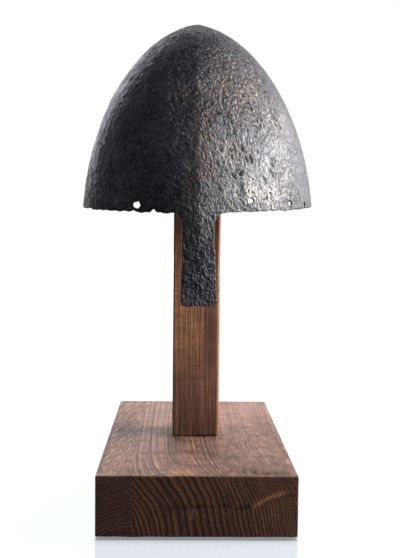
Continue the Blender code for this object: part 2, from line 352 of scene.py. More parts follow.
def round_edges(shell, faces, top, normals, to_inner):
    """Joins the plate's two faces round every open edge but the top one, with a ridge half way."""
    edges = dict.fromkeys((a, b) for face in faces for a, b in zip(face, face[1:] + face[:1]))
    open_edges = [(a, b) for a, b in edges if (b, a) not in edges and not (a in top and b in top)]
    pushed = {}
    for a, b in open_edges:
        for v in (a, b):
            out = np.cross(shell.points[b] - shell.points[a], normals[v])
            pushed.setdefault(v, []).append(out / max(np.linalg.norm(out), TINY))
    order = sorted(pushed)
    bulge = np.array([np.mean(pushed[v], axis=0) for v in order]) * EDGE_BULGE
    centres = (shell.points[order] + shell.points[[to_inner[v] for v in order]]) / 2 + bulge
    middle = dict(zip(order, shell.add(centres).tolist()))
    for a, b in open_edges:
        shell.faces += [(b, a, middle[a], middle[b]), (middle[b], middle[a], to_inner[a], to_inner[b])]


def line_skull(shell, azimuths, arc, last):
    """The rest of the inner face, coarser, from the ring called last up to its apex."""
    step = 1
    while arc > INNER_ROW:
        wanted = max(1, round(math.tau * np.interp(arc, ARC, REACHES) * SKULL_HALF_WIDTH / INNER_ROW))
        if COLUMNS // (2 * step) >= max(32, wanted) and step < 16:
            step *= 2
        base = skull_point(azimuths[::step], arc)
        normal = np.cross(skull_point(azimuths[::step], arc + 1e-4) - base,
                          skull_point(azimuths[::step] + 1e-3, arc) - base)
        normal /= np.linalg.norm(normal, axis=1, keepdims=True)
        ring = shell.add(base - PLATE * normal)
        shell.bridge(ring, last, True)
        last = ring
        arc -= INNER_ROW if step > 2 else ROW * 1.5
    tip = shell.add(skull_point(0.0, 0.0) - np.array((0.0, 0.0, PLATE * 1.05)))[0]
    shell.fan(tip, last, True)


def helmet_shell():
    """The plate before corrosion: outer and inner faces joined round every edge. Returns points, faces, and
    for each point 1 on the outer face, 0 on the inner one."""
    shell = Shell()
    azimuths = rim_azimuths()
    drops = np.array([rim_drop(a if a < math.pi else a - math.tau) for a in azimuths])
    arcs = np.linspace(0.0, RIM_ARC, round(RIM_ARC / ROW) + 1)[1:]
    rings, ring_arcs = [], []
    apex = shell.add(skull_point(0.0, 0.0))[0]
    for arc in arcs:
        step = COLUMNS // ring_size(np.interp(arc, ARC, REACHES) * SKULL_HALF_WIDTH)
        ring_arcs.append(arc + drops[::step] * smoothstep(arc, RIM_ARC - RIM_ZONE, RIM_ARC))
        rings.append(shell.add(skull_point(azimuths[::step], ring_arcs[-1])))
    shell.fan(apex, rings[0], False)
    cut_from = int(np.searchsorted(arcs, RIM_ARC - CUT_ZONE))
    for upper, lower in zip(rings[:cut_from], rings[1:cut_from + 1]):
        shell.bridge(upper, lower, False)

    # the zone that the holes are cut in is a grid; the nasal hangs from its last row
    grid = np.array(rings[cut_from:])
    keep, moved = cut_holes(azimuths, np.array(ring_arcs[cut_from:]))
    for place, (azimuth, arc) in moved.items():
        shell.points[grid[place]] = skull_point(azimuth, arc)
    zone = quads(closed(grid))[keep].tolist()
    nasal = np.array([grid[-1][:NASAL_COLUMNS + 1]] + [shell.add(row) for row in nasal_rows(azimuths)])
    zone += quads(nasal).reshape(-1, 4).tolist()
    shell.faces += zone

    # the inner face of that zone: the same grid, a plate's thickness inwards
    normals = vertex_normals(shell.points, shell.faces)
    top = set(grid[0].tolist())
    outer = sorted({v for face in zone for v in face} | top)
    inner = shell.add(shell.points[outer] - PLATE * normals[outer])
    to_inner = dict(zip(outer, inner.tolist()))
    shell.faces += [[to_inner[v] for v in face[::-1]] for face in zone]
    round_edges(shell, zone, top, normals, to_inner)
    line_skull(shell, azimuths, arcs[cut_from] - ROW, np.array([to_inner[v] for v in grid[0].tolist()]))
    return shell.points, shell.faces, np.arange(len(shell.points)) < inner[0]


def corrosion(point):
    """Height of the corroded surface over the forged one at a point of the helmet, in metres."""
    drawn = Vector((point.x, point.y, point.z * 0.80))
    dents = noise.fractal(drawn / 0.030, 1.0, 2.1, 2)
    lumps = noise.fractal(drawn / 0.0085 + Vector((7.0, 3.0, 1.0)), 0.8, 2.2, 2)
    crust = noise.noise(drawn / 0.0030 + 0.6 * noise.noise_vector(drawn / 0.008))
    fissure = max(0.0, 1.0 - abs(noise.noise(drawn / 0.0058 + Vector((1.0, 5.0, 2.0)))) / 0.10)
    pit = max(0.0, 1.0 - noise.voronoi(drawn / 0.0060)[0][0] / 0.40)
    pit *= max(0.0, 0.3 + noise.noise(drawn / 0.021))
    return MM * (0.40 * dents + 0.28 * lumps + 0.36 * crust - 0.14 * fissure - 0.70 * pit)


# Deep pits drawn out by the hammer: azimuth in degrees, then height above the rim, half-width and
# half-length in millimetres, and slant
LONG_PITS = [(28.6, 100, 1.2, 2.0, 0.6), (31.3, 92.5, 1.1, 2.2, 0.4), (32.3, 87.5, 1.1, 2.0, 0.5),
             (37.0, 78.1, 1.1, 2.2, 0.5), (48.7, 79.7, 1.2, 3.0, 0.35), (47.7, 73.7, 1.0, 2.0, 0.6),
             (51.5, 71.8, 1.2, 2.2, -0.6), (7.6, 90.8, 1.8, 1.4, -0.5), (10.6, 82.7, 1.2, 1.8, -0.3),
             (11.0, 50.3, 1.1, 1.4, 0.0), (15.7, 50.7, 1.6, 1.4, 0.2), (21.7, 52.4, 1.2, 3.0, 0.1),
             (25.9, 43.2, 1.1, 4.4, 0.05), (23.5, 43.2, 1.1, 3.0, 0.2), (38.7, 43.1, 1.2, 2.0, 0.4),
             (38.8, 38.5, 1.3, 1.4, 0.0), (32.8, 24.7, 1.2, 2.6, 0.15), (37.2, 32.1, 1.2, 1.8, 0.3),
             (37.8, 29.2, 1.2, 2.0, 0.2), (20.2, 31.6, 1.1, 2.4, -0.5), (17.9, 33.2, 1.0, 1.4, 0.0),
             (16.3, 29.6, 1.1, 2.4, 0.2), (32.7, 10.6, 1.2, 1.3, 0.0), (35.1, 14.6, 1.2, 1.1, 0.2),
             (-70, 60, 1.1, 2.6, 0.3), (-78, 100, 1.2, 2.4, -0.2), (110, 60, 1.0, 3.0, 0.2),
             (165, 90, 1.0, 3.0, -0.2), (-130, 55, 1.0, 2.8, 0.3), (135, 30, 1.2, 2.4, 0.1),
             (-160, 30, 1.2, 2.6, -0.3)]
PIT_DEPTH = 0.0009
PIT_SEARCH = 0.012              # no long pit reaches further from its middle


def long_pits(points):
    """How far each point is inside a long pit, 0 to 1."""
    amount = np.zeros(len(points))
    for degrees, above, half_width, half_length, slant in LONG_PITS:
        azimuth, arc = math.radians(degrees), RIM_ARC - above * MM
        centre = skull_point(azimuth, arc)
        down = skull_point(azimuth, arc + 2 * MM) - centre
        away = points - centre
        along = away @ (down / np.linalg.norm(down))
        aside = away @ np.array((math.cos(azimuth), math.sin(azimuth), 0.0)) - slant * along
        shape = np.exp(-(aside / (half_width * MM)) ** 2 - (along / (half_length * MM)) ** 4)
        amount = np.maximum(amount, (np.linalg.norm(away, axis=1) < PIT_SEARCH) * shape)
    return amount


# Stains on the outer face: azimuth in degrees, height above the rim and radius in millimetres, and strength
RUST_STAINS = [(2, 64, 11, 1.0), (2, 46, 10, 1.0), (-2, 26, 7, 0.9), (6, 31, 9, 0.7), (4, 85, 12, 0.7),
               (19, 110, 16, 0.7), (38, 105, 16, 0.7), (16, 52, 14, 0.5), (30, 85, 16, 0.5),
               (50, 75, 14, 0.4), (24, 130, 14, 0.5), (-8, 95, 20, 0.3), (120, 120, 30, 0.7),
               (150, 50, 25, 0.8), (-150, 90, 35, 0.7), (-95, 40, 22, 0.6), (-125, 140, 20, 0.5),
               (178, 140, 20, 0.5)]
PALE_BLOOMS = [(23, 22.5, 5, 0.9), (25, 16.5, 6, 1.0), (28, 12, 6, 1.0), (32, 10.5, 6, 1.0),
               (36, 16.5, 5.5, 0.9), (31, 23, 5, 0.5), (39, 11, 5, 0.6), (160, 20, 12, 0.7),
               (-118, 28, 10, 0.6)]
# Pale patches, partly real wear and partly a painted highlight on the lit right side
WORN_AND_LIT = [(34, 14, 30, 0.85), (40, 40, 32, 0.66), (44, 70, 34, 0.42), (26, 30, 26, 0.72), (14, 10, 28, 0.75),
        (14, 40, 28, 0.52), (60, 20, 40, 0.12), (62, 60, 36, 0.07), (32, 100, 36, 0.20), (85, 30, 50, 0.05),
        (150, 60, 60, 0.5), (-120, 60, 40, 0.4)]
CRUSTY_RIM = [(19, 3, 6, 1.0), (24, 1, 7, 1.0), (30, 2, 7, 1.0), (35, 3, 6, 0.8), (125, 4, 12, 0.8),
              (-100, 3, 10, 0.7), (170, 4, 10, 0.6)]


def stain(points, spots):
    """How far each point is inside the stains, 0 to 1."""
    amount = np.zeros(len(points))
    for degrees, above, radius, strength in spots:
        centre = skull_point(math.radians(degrees), RIM_ARC - above * MM)
        away = np.linalg.norm(points - centre, axis=1)
        amount = np.maximum(amount, strength * bump_of(away, 0.0, radius * MM))
    return amount


def make_helmet(look):
    points, faces, outside = helmet_shell()
    normals = vertex_normals(points, faces)
    pits = long_pits(points)
    turned = np.degrees(np.arctan2(points[:, 0], -points[:, 1]))
    calm = smoothstep(turned, 46.0, 64.0) - smoothstep(turned, 100.0, 130.0)
    crusty = stain(points, CRUSTY_RIM)
    rough = (0.3 + 0.7 * outside) * (1.0 - 0.55 * calm) * (1.0 + 0.6 * crusty)
    heights = np.array([corrosion(Vector(p)) for p in points]) * rough - PIT_DEPTH * pits * outside
    mesh = mesh_from("helmet_bowl_corroded", points + normals * heights[:, None], faces)
    relief = np.clip(heights / (1.2 * MM) + 0.5, 0.0, 1.0)
    put_values(mesh, relief=relief, worn=stain(points, WORN_AND_LIT), pit=pits, calm=calm, crusty=crusty,
               nasal=smoothstep(-points[:, 2], -0.01, 0.02), rust=stain(points, RUST_STAINS),
               bloom=stain(points, PALE_BLOOMS))
    helmet = finished(mesh, look)
    helmet.matrix_world = HELMET_PLACE
    return helmet


# ---------------------------------------------------------------- timber

BASE_LOW, BASE_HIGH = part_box("base_stave")[0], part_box("base_board")[1]
JOINT = (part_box("base_stave")[1].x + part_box("base_board")[0].x) / 2
GLUE = 0.000005                 # half the glue line between the base's two planks
TIMBER_SHARP = 25


def grid_lines(low, high, step, arris):
    """A box's grid lines along one axis: close together in its rounded edges, even between them."""
    inner = np.linspace(low + arris, high - arris, max(2, round((high - low) / step)))
    edge = arris * np.array((0.0, 0.35, 0.7))
    return np.concatenate((low + edge, inner, high - edge[::-1]))


def lattice_box(low, high, steps, arris):
    """The surface of a box as one closed quad grid. Returns its points and faces."""
    lines = [grid_lines(low[k], high[k], steps[k], arris) for k in range(3)]
    counts = [len(line) for line in lines]
    numbers = np.full(counts, -1)
    shell = np.ones(counts, bool)
    shell[1:-1, 1:-1, 1:-1] = False
    numbers[shell] = np.arange(shell.sum())
    where = np.argwhere(shell)
    points = np.stack([lines[k][where[:, k]] for k in range(3)], -1)
    faces = []
    for axis in range(3):
        for end in (0, -1):
            sheet = quads(np.take(numbers, end, axis)).reshape(-1, 4)
            faces += (sheet[:, ::-1] if (axis == 1) != (end == 0) else sheet).tolist()
    return points, faces


def planed(points, low, high, arris):
    """Rounds a box's edges, each point by its own radius. Returns points and their normals."""
    core = np.clip(points, np.array(low) + arris[:, None], np.array(high) - arris[:, None])
    out = points - core
    out /= np.linalg.norm(out, axis=1, keepdims=True)
    return core + arris[:, None] * out, out


def timber(name, low, high, steps, arris, rings, relief, look):
    """A piece of timber: arris(points) rounds its edges, rings(points) counts growth rings, and
    relief(points, rings, normals) raises its surface. Returns it, and where its points are."""
    points, faces = lattice_box(low, high, steps, float(np.max(arris(np.array([low, high])))))
    points, normals = planed(points, low, high, arris(points))
    counts = rings(points)
    mesh = mesh_from(name, points + normals * relief(points, counts, normals)[:, None], faces)
    at_end = (points[:, 1] < low[1] + 2 * MM) & (np.abs(points[:, 0] - JOINT) < 2 * MM)
    put_values(mesh, rings=counts, end=np.maximum(smoothstep(np.abs(normals[:, 1]), 0.5, 0.9), at_end))
    return finished(mesh, look, TIMBER_SHARP), places(mesh)


def ring_relief(counts, depth):
    """Hard late wood stands proud of the early wood."""
    share = counts - np.floor(counts)
    return depth * (smoothstep(share, 0.25, 0.75) - smoothstep(share, 0.88, 1.0) - 0.4)


def near_line(across, up, line):
    """Distance from a line through (across, up) points, on the board's end."""
    best = np.full(len(across), 1.0)
    for (x0, y0), (x1, y1) in zip(line, line[1:]):
        dx, dy = x1 - x0, y1 - y0
        along = np.clip(((across - x0) * dx + (up - y0) * dy) / (dx ** 2 + dy ** 2), 0, 1)
        best = np.minimum(best, np.hypot(across - x0 - along * dx, up - y0 - along * dy))
    return best


# Width of the board's growth rings, at places across its end, in metres from the base's left edge
RING_PLACES = [0.020, 0.040, 0.052, 0.066, 0.080, 0.092, 0.104, 0.116, 0.128, 0.145, 0.190]
RING_WIDTHS = [0.0038, 0.0039, 0.0042, 0.0058, 0.0060, 0.0052, 0.0046, 0.0038, 0.0030, 0.0023, 0.0025]
GRID_STEP = 0.0005
GRID = np.arange(-0.02, 0.24, GRID_STEP)
RING_COUNTS = np.cumsum(GRID_STEP / np.interp(GRID, RING_PLACES, RING_WIDTHS))
BEND, BEND_LENGTH = 0.0155, 0.042       # how far the grain swerves to the right in front, over what length

# On the front end, across and up: a drying check, the branch trace that it runs into, and a pale scratch
CHECK = [(0.056, 0.0215), (0.068, 0.0235), (0.082, 0.0230), (0.096, 0.0240), (0.112, 0.0225),
         (0.122, 0.0240)]
BRANCH = [(0.122, 0.0240), (0.129, 0.0285), (0.137, 0.0325), (0.145, 0.0345), (0.154, 0.0350)]
SCRATCH = [(0.0757, 0.0225), (0.0742, 0.0180), (0.0755, 0.0160), (0.0728, 0.0140)]
TOP_FACE = 0.045                # marks on the base's top are on what lies higher than this


def base_places(points):
    """Points of the base: across from its left edge, back from its front, up from its underside."""
    return (points - np.array(BASE_LOW)).T


def board_places(points):
    """Where points lie across the board's ring pattern, as its front end's bottom edge has it."""
    across, back, up = base_places(points)
    lean = 0.20 * up + 0.22 * np.maximum(up - 0.0235, 0.0)
    lean = lean + 0.30 * np.maximum(up - 0.014, 0.0) * smoothstep(0.070 - across, 0.0, 0.045)
    bend = BEND * smoothstep(across, 0.0, 0.06) * (1.0 - np.exp(-back / BEND_LENGTH))
    wander = 1.6 * noise_at(points, (0.030, 0.16, 0.022), 3.0)
    wander += 0.5 * noise_at(points, (0.009, 0.05, 0.009))
    return across + bend + lean + MM * wander


def board_rings(points):
    """Rings of a flat-sawn board: nearly upright in its end, leaning over above its check."""
    return np.interp(board_places(points), GRID, RING_COUNTS)


def board_faintness(points):
    """Narrow rings are faint, and some rings come and go along the top."""
    across, back, up = base_places(points)
    thin = 1.0 - smoothstep(np.interp(board_places(points), RING_PLACES, RING_WIDTHS), 0.0002, 0.0040)
    along_ring = np.column_stack((board_rings(points), back, up))
    fading = 0.45 + 1.7 * noise_at(along_ring, (1.9, 0.13, 0.09), 71.0)
    fading *= smoothstep(across, 0.055, 0.095) * smoothstep(up, 0.030, 0.046)
    return np.clip(thin + fading, 0.0, 1.0)


def board_marks(points):
    """Marks on the board: on its end check, branch trace and scratch, on its top yellow specks, a dark
    streak by the front edge, and painted shade in the middle and towards the front on the right.
    """
    across, back, up = base_places(points)
    front, top = smoothstep(-back, -3 * MM, -MM), up > TOP_FACE
    waver = 3.0 * noise_at(points, (0.010, 0.009, 0.03), 17.0)
    waver = MM * (waver + 1.2 * noise_at(points, (0.0035, 0.003, 0.006)))
    broken = np.clip(0.75 + 0.9 * noise_at(points, (0.006, 0.01, 0.02), 41.0), 0.0, 1.0)
    check = bump_of(near_line(across, up + waver, CHECK), 0.0, 0.0013) * front * broken
    waver *= 0.35
    below = bump_of(near_line(across, up + waver + 0.0016, BRANCH), 0.0, 0.0011) * front
    branch = bump_of(near_line(across, up + waver, BRANCH), 0.0, 0.0015) * front
    branch *= 1.0 - smoothstep(across, 0.140, 0.152)
    # A dark streak by the front edge; the dark patch in the middle and the right side darker towards the
    # front are painted shade
    soiled = bump_of(across, 0.128, 0.022) * bump_of(back - 0.1 * (0.128 - across), 0.011, 0.006)
    soiled += 0.45 * bump_of(across, 0.086, 0.016) * bump_of(back, 0.066, 0.012)
    soiled += 0.45 * smoothstep(across, 0.070, 0.105) * (1.0 - smoothstep(back, 0.08, 0.26))
    blotches = np.clip(0.7 + 1.2 * noise_at(points, (0.004, 0.012, 0.02), 51.0), 0.0, 1.0)
    return {"check": np.maximum(check, 0.7 * below) * (1.0 - branch), "branch": branch,
            "scratch": bump_of(near_line(across, up, SCRATCH), 0.0, 0.0007) * front,
            "yellow": bump_of(across, 0.066, 0.009) * bump_of(back, 0.010, 0.006) * top,
            "soiled": soiled * top * blotches}


def stave_rings(points):
    """Rings of the narrow stave: nearly level in its end, so its top shows a flamed, flecked figure."""
    across, back, up = base_places(points)
    wave = 0.0060 * noise_at(points, (0.030, 0.090, 0.040), 11.0)
    return (up - 0.35 * across + 0.04 * back + wave) / 0.0030 + 40.0


def post_rings(points):
    """Rings of the post: upright lines on its faces, wandering slightly."""
    along = 4.6 * noise_at(points, (0.012, 0.012, 0.40), 5.0) + 0.6 * noise_at(points, (0.006, 0.006, 0.07))
    return (points[:, 0] + 0.35 * points[:, 1] + MM * along) / 0.0037 + 40.0


def board_relief(points, counts, normals):
    """Raised rings, saw and plane marks, worn edges, and both planks flat where they are glued."""
    saw = 0.08 * noise_at(points, (0.05, 0.012, 0.05), 21.0)
    worn = 0.22 * noise_at(points, 0.016, 2.0) * (np.max(np.abs(normals), axis=1) < 0.97)
    glued = smoothstep(np.abs(points[:, 0] - JOINT), 0.0002, 0.0012)
    return MM * (ring_relief(counts, 0.05) * (1.0 - 0.6 * np.abs(normals[:, 1])) + saw + worn) * glued


def stave_relief(points, counts, normals):
    """The stave's top has slanting dimples where its flamed grain was torn by the plane."""
    slanted = points @ np.array(((1.0, -0.45, 0.0), (0.0, 1.0, 0.0), (0.0, 0.0, 1.0)))
    figure = 0.30 * MM * noise_at(slanted, (0.0032, 0.0150, 0.01), 31.0) * np.abs(normals[:, 2])
    return board_relief(points, counts, normals) + figure


def post_relief(points, counts, normals):
    return ring_relief(counts, 0.04 * MM) + 0.10 * MM * noise_at(points, (0.02, 0.02, 0.06), 9.0)


BASE_ARRIS = 0.0009
GLUED_ARRIS = 0.00009           # the planks' edges at the glue line
POST_ARRISES = (0.0012, 0.0023)         # left and right


def make_base(look, stave_look):
    """The base's board and its narrow stave, edge to edge."""
    board, at = timber("base_board_planed", (JOINT + GLUE, BASE_LOW.y, BASE_LOW.z), BASE_HIGH,
                       (0.0010, 0.0030, 0.0014),
                       lambda p: np.where(p[:, 0] < JOINT + 4 * MM, GLUED_ARRIS, BASE_ARRIS),
                       board_rings, board_relief, look)
    put_values(board.data, **board_marks(at), faint=board_faintness(at))
    stave, _ = timber("base_stave_planed", BASE_LOW, (JOINT - GLUE, BASE_HIGH.y, BASE_HIGH.z),
                      (0.0010, 0.0025, 0.0014),
                      lambda p: np.where(p[:, 0] > JOINT - 4 * MM, GLUED_ARRIS, BASE_ARRIS),
                      stave_rings, stave_relief, stave_look)
    put_values(stave.data, faint=0.8)
    return board, stave


def make_post(look):
    """The upright: painted shade at its foot and at its top under the helmet, a dark band, painted shade on
    its left arris and a painted highlight in orange on its right one, orange-tinted wood half way up.
    """
    low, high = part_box("post")
    middle = (low.x + high.x) / 2
    post, at = timber("post_planed", low, high, (0.0010, 0.0014, 0.0036),
                      lambda p: np.where(p[:, 0] < middle, *POST_ARRISES), post_rings, post_relief, look)
    share, up = (at[:, 0] - low.x) / (high.x - low.x), at[:, 2] - low.z
    front = at[:, 1] < low.y + 4 * MM
    drift = 0.05 * noise_at(at, (0.02, 0.02, 0.05), 61.0)
    mottled = np.clip(0.7 + 0.9 * noise_at(at, (0.008, 0.02, 0.045), 63.0), 0.0, 1.0)
    band = smoothstep(share + drift, 0.64, 0.72) * (1.0 - smoothstep(share, 0.90, 0.95)) * front
    streaks = noise_at(np.column_stack((post_rings(at), share, up)), (0.8, 1.0, 0.10), 67.0)
    # Darker towards the foot, and towards the top under the helmet: painted shade
    shaded_ends = np.clip(0.90 + 0.9 * streaks, 0.5, 1.0) * (1.0 - smoothstep(up, 0.0, 0.100))
    shaded_ends += 0.3 * smoothstep(up, 0.16, 0.21)
    # The left arris painted dark: painted shade on the side away from the key light
    left_arris_shade = 0.9 * (1.0 - smoothstep(share, 0.012, 0.040))
    warm = front * mottled * smoothstep(up, 0.04, 0.10) * (1.0 - smoothstep(up, 0.15, 0.18))
    warm *= 1.0 - smoothstep(share + drift, 0.55, 0.68)
    # The right arris painted orange: a painted highlight where the key light falls
    right_arris_highlight = 0.45 * front * smoothstep(share, 0.94, 0.97)
    put_values(post.data, faint=0.9, soiled=np.maximum.reduce((shaded_ends, 0.55 * band * mottled, left_arris_shade)),
               warm=np.maximum(warm, right_arris_highlight))
    return post


# ---------------------------------------------------------------- crown, screws and feet

BLOCK_EDGE = 0.0015             # rounding of the block's edges
BLOCK_DROP = 0.0076             # from the skull's outer face down to the block's dome
BLOCK_SIDES = 128
MOUTH_RADIUS = 0.0050           # of the block's countersink
PAD_DROP = 0.0033
PAD_THICKNESS = 0.0036
PAD_ARC = 0.0365                # from the pad's middle to its edge
PAD_SINK = 0.0004               # how far the helmet presses into the felt
PAD_SIDES = 192
SEAMS = [math.radians(a) for a in (45, 135, 225, 315)]
STITCH_SIDES = 8
SCREW_SIDES = 48
TURNED_SHARP = 50
HEAD_RATIO = 2.0                # a screw's head, core and recess, over its radius or its head's
CORE_RATIO = 0.68
RECESS_RATIO = 0.42
FOOT_SIDES = 96


def grid_mesh(name, rings, centres):
    """A closed skin over rings of points, with a fan to each of the two centres."""
    rings = np.asarray(rings, float)
    count, around = rings.shape[:2]
    points = np.concatenate((rings.reshape(-1, 3), np.array(centres, float)))
    number = closed(np.arange(count * around).reshape(count, around))
    faces = quads(number).reshape(-1, 4).tolist()
    first, last = count * around, count * around + 1
    faces += [(first, a, b) for a, b in zip(number[0, :-1].tolist(), number[0, 1:].tolist())]
    faces += [(last, b, a) for a, b in zip(number[-1, :-1].tolist(), number[-1, 1:].tolist())]
    return mesh_from(name, points, faces)


def dome_height(flat, drop):
    """World height of the skull's outer face, lowered in the helmet's frame, over places in the plane."""
    back = np.array(HELMET_PLACE.inverted())
    z = np.full(len(flat), HELMET_PLACE.translation.z + SKULL_HEIGHT - drop)
    for _ in range(6):
        local = np.column_stack((flat, z, np.ones_like(z))) @ back.T
        reach = np.hypot(local[:, 0] / SKULL_HALF_WIDTH, local[:, 1] / SKULL_HALF_LENGTH)
        z = z + np.interp(reach, REACHES, HEIGHTS) - drop - local[:, 2]
    return z


def make_crown_block(look):
    """A turned and sanded block with a domed top, a countersink for its screw, and a flat underside."""
    (low, high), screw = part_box("crown_block"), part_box("crown_screw")
    axis = np.array((screw[0] + screw[1])[:2]) / 2
    centre, half = np.array((low + high)[:2]) / 2, np.array((high - low)[:2]) / 2
    side = circle(BLOCK_SIDES) * half + centre
    mouth = axis + MOUTH_RADIUS * circle(BLOCK_SIDES)
    head, size = screw[1].z, half.mean()
    countersink = ((0.30, -3.0), (0.60, -2.6), (0.95, -0.2), (1.0, 1.0))
    rings = [raised(axis + reach * (mouth - axis), head + up * MM) for reach, up in countersink]
    for share in np.concatenate(([0.0, 0.012], np.linspace(0.04, 0.96, 26), [0.98, 1.0])):
        flat = mouth + share * (side - mouth) * (1.0 - BLOCK_EDGE / size * (share > 0.97))
        z = dome_height(flat, BLOCK_DROP) - 0.4 * MM * (share == 0.0)
        rings.append(raised(flat, z + 0.15 * MM * noise_at(raised(flat, z), 0.012, 4.0)))
    shoulder = rings[-1][:, 2]
    for turn in np.radians((30, 60, 90)):
        flat = side + (side - centre) / size * BLOCK_EDGE * (math.sin(turn) - 1.0)
        rings.append(raised(flat, shoulder - BLOCK_EDGE * (1.0 - math.cos(turn))))
    foot = low.z + MM
    for share in np.linspace(0.06, 1.0, 22):
        z = (shoulder - BLOCK_EDGE) * (1.0 - share) + foot * share
        tooled = 1.0 + 0.0015 * np.sin(z * 2800.0)
        rings.append(raised(centre + (side - centre) * tooled[:, None], z))
    for share, rise in ((1.0 - 0.4 * MM / size, 0.4 * MM), (1.0 - MM / size, 0.0), (0.7, 0.0), (0.4, 0.0),
                        (0.15, 0.0)):
        rings.append(raised(centre + (side - centre) * share, low.z + rise))
    mesh = grid_mesh("crown_block_turned", rings, ((*axis, head - 3.2 * MM), (*centre, low.z)))
    at = places(mesh)
    wave = 0.0030 * noise_at(at, (0.030, 0.030, 0.09), 8.0)
    put_values(mesh, rings=np.hypot(at[:, 0] + 0.055 + wave, at[:, 1] - 0.020) / 0.0034, faint=0.5)
    return finished(mesh, look, TURNED_SHARP)


def stitch(start, end, rise, radius):
    """Rings of one thread that arches from a hole in the felt to the next."""
    start, end, rise = Vector(start), Vector(end), Vector(rise)
    along, up = (end - start).normalized(), rise.normalized()
    aside = along.cross(rise).normalized()
    rings = []
    for share in np.linspace(0.0, 1.0, 7):
        middle = start.lerp(end, share) + rise * (math.sin(math.pi * share) - 0.35)
        normal = up * math.cos(math.pi * (share - 0.5)) + along * math.sin(math.pi * (share - 0.5))
        rings.append([middle + radius * (c * aside + s * normal) for c, s in circle(STITCH_SIDES).tolist()])
    return rings


def pad_skin():
    """The pad without its stitches, in the helmet's frame: darts along the seams and a soft rolled edge."""
    around = np.arange(PAD_SIDES) * math.tau / PAD_SIDES
    drop = np.array((0.0, 0.0, PAD_DROP))
    radius = PAD_THICKNESS / 2
    upper, lower = [], []
    edge_arcs = PAD_ARC + radius * np.sin(np.radians((-60, -30, 0, 30, 60, 90))) - radius
    for arc in np.concatenate((np.linspace(0.0008, 0.93, 46) * PAD_ARC, edge_arcs)):
        past = max(0.0, arc - (PAD_ARC - 2 * radius)) / radius
        roll = radius * (1.0 - math.sqrt(max(0.0, 1.0 - min(1.0, past / 2) ** 2)))
        ring = skull_point(around, arc) - drop
        aside = np.min([np.abs(np.sin((around - seam) / 2)) * 2 for seam in SEAMS], axis=0) * arc
        groove = 0.7 * bump_of(aside, 0.0, 0.0010) * smoothstep(arc, 0.010, 0.016)
        puff = 0.4 * (1.0 - bump_of(aside, 0.0, 0.005)) * smoothstep(arc, 0.012, 0.025)
        ring[:, 2] += MM * (puff - groove + 0.22 * noise_at(ring, 0.006, 6.0)) - PAD_SINK - roll
        upper.append(ring)
    for share in np.linspace(1.0, 0.02, 18):
        ring = skull_point(around, (PAD_ARC - 0.0006) * share) - drop
        ring[:, 2] -= PAD_THICKNESS + 0.1 * MM * noise_at(ring, 0.005, 2.0)
        lower.append(ring)
    edge = (upper[-1] + lower[0]) / 2
    edge[:, :2] *= 1.0 + 0.4 * MM / PAD_ARC
    top = skull_point(0.0, 0.0) - drop - np.array((0.0, 0.0, PAD_SINK))
    return upper + [edge] + lower, (top, top - np.array((0.0, 0.0, PAD_THICKNESS)))


def make_crown_pad(look):
    """Thick felt shaped over the block: four sewn darts, a rolled edge, the helmet's slight imprint."""
    mesh = grid_mesh("crown_pad_felt", *pad_skin())
    made = bmesh.new()
    made.from_mesh(mesh)
    thread = made.verts.layers.float.new("thread")
    for seam in SEAMS:
        out = np.array((math.sin(seam), -math.cos(seam), 0.0))
        across = np.array((math.cos(seam), math.sin(seam), 0.0))
        turn = across * 1.5 * MM + out * 0.5 * MM
        for arc in np.arange(0.0145, PAD_ARC - 0.004, 0.0032):
            at = skull_point(seam, arc) - np.array((0.0, 0.0, PAD_DROP + 0.6 * MM))
            rings = stitch(at - turn, at + turn, (0.0, 0.0, 0.7 * MM), 0.28 * MM)
            loops = [[made.verts.new(p) for p in ring] for ring in rings]
            for first, second in zip(loops, loops[1:]):
                for k in range(STITCH_SIDES):
                    following = (k + 1) % STITCH_SIDES
                    made.faces.new((first[k], first[following], second[following], second[k]))
            made.faces.new(loops[0][::-1])
            made.faces.new(loops[-1])
            for vert in (v for loop in loops for v in loop):
                vert[thread] = 1.0
    made.to_mesh(mesh)
    made.free()
    pad = finished(mesh, look)
    pad.matrix_world = HELMET_PLACE
    return pad


def cross_recess(flat, head):
    """Depth of a cross-shaped drive recess at places on a screw head of that radius."""
    size = np.abs(flat)
    across, along = size.min(1), size.max(1)
    arm = 1.0 - smoothstep(across, 0.09 * head, 0.14 * head)
    arm *= 1.0 - smoothstep(along, 0.30 * head, 0.58 * head)
    middle = 1.0 - smoothstep(np.hypot(*flat.T), 0.12 * head, 0.26 * head)
    return RECESS_RATIO * head * np.maximum(arm, middle)


def make_screw(name, radius, length, pitch, place, look):
    """A countersunk wood screw, head up: cross recess, plain neck, sharp thread and a threaded point."""
    unit = circle(SCREW_SIDES)
    turn_share = np.arange(SCREW_SIDES) / SCREW_SIDES
    head, core = HEAD_RATIO * radius, CORE_RATIO * radius
    flats = [share * head * unit for share in np.linspace(0.05, 0.97, 24)]
    rings = [raised(flat, -0.1 * MM - cross_recess(flat, head)) for flat in flats]
    for reach, z in ((1.0, -0.15 * MM), (1.0, -0.4 * MM), (0.55, -radius), (0.44, -1.3 * radius),
                     (0.42, -1.8 * radius)):
        rings.append(raised(reach * head * unit, z))
    plain = 0.30 * length
    for z in np.linspace(2.2 * radius, plain, 6):
        rings.append(raised(0.80 * radius * unit, -z))
    for z in np.arange(plain + pitch / 8, length - 0.2 * MM, pitch / 8):
        turn = np.mod(z / pitch - turn_share, 1.0)
        crest = np.maximum(0.0, 1.0 - np.abs(turn - 0.5) / 0.26) ** 1.2
        grown = smoothstep(z, plain, plain + 1.5 * pitch)
        taper = min(1.0, (length - z) / (2.6 * radius))
        reach = taper * (core + (0.98 * radius - core) * crest * grown)
        rings.append(raised(reach[:, None] * unit, -z))
    mesh = grid_mesh(name, rings, ((0.0, 0.0, -0.1 * MM - RECESS_RATIO * head), (0.0, 0.0, -length)))
    screw = finished(mesh, look, TURNED_SHARP)
    screw.matrix_world = place
    return screw


